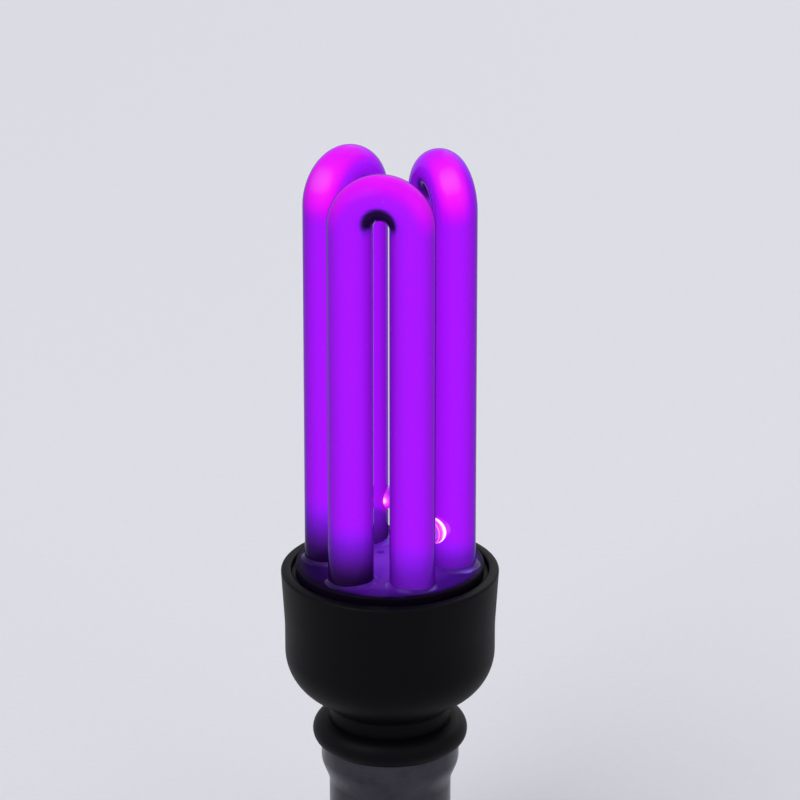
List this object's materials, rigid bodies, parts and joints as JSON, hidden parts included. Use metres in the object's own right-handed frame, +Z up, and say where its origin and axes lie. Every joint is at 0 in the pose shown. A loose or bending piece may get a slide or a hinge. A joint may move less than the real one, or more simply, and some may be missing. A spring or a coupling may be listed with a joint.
{
  "type": "uv black light bulb",
  "caption": "Compact black light lamp: bent violet glass tubes on a pale plate, black moulded ballast bowl with a rounded collar, and a flared metal screw cap.",
  "frame": {"origin": "tip of the centre contact, on the lamp's axis", "axes": "+Z up the lamp's axis from the cap to the tubes, -Y towards the front U, +X to the viewer's right"},
  "size_m": [0.0462, 0.0462, 0.1647],
  "materials": {
    "tube_glass": "dark violet filter glass over a lit coating",
    "pale_plastic": "satin moulded",
    "sealant": "glossy, hand laid",
    "black_plastic": "satin moulded",
    "cap_metal": "dulled sheet",
    "black_glass": "glossy, pressed",
    "contact_brass": "polished by use",
    "solder": "cast dome",
    "coil_oxide": "oxide coated",
    "clear_glass": "clear bead",
    "lead_wire": "tinned wire",
    "board_laminate": "pressed laminate",
    "ferrite": "sintered",
    "copper_winding": "enamelled wire",
    "bobbin_plastic": "moulded",
    "capacitor_sleeve": "shrunk sleeve",
    "film_dip": "dipped resin",
    "black_epoxy": "moulded",
    "axial_lacquer": "lacquered",
    "thermistor_dip": "dipped"
  },
  "bodies": {
    "root": {"discharge_tube": "tube_glass", "tube_plate": "pale_plastic", "foot_sealant": "sealant", "housing": "black_plastic", "neck_collar": "black_plastic", "screw_shell": "cap_metal", "cap_insulator": "black_glass", "centre_contact": "contact_brass", "contact_solder": "solder", "front_filament": "coil_oxide", "left_filament": "coil_oxide", "front_mount_bead": "clear_glass", "left_mount_bead": "clear_glass", "front_lead_a": "lead_wire", "front_lead_b": "lead_wire", "left_lead_a": "lead_wire", "left_lead_b": "lead_wire", "line_lead_lower": "lead_wire", "line_lead_upper": "lead_wire", "shell_lead": "lead_wire", "circuit_board": "board_laminate", "choke_core": "ferrite", "drive_toroid": "ferrite", "choke_winding": "copper_winding", "toroid_windings": "copper_winding", "choke_bobbin": "bobbin_plastic", "bulk_capacitor": "capacitor_sleeve", "resonant_capacitor": "film_dip", "coupling_capacitor": "film_dip", "transistor_upper": "black_epoxy", "transistor_lower": "black_epoxy", "rectifier_diodes": "black_epoxy", "resistors": "axial_lacquer", "trigger_diac": "axial_lacquer", "fuse_resistor": "axial_lacquer", "start_thermistor": "thermistor_dip"}
  },
  "joints": []
}
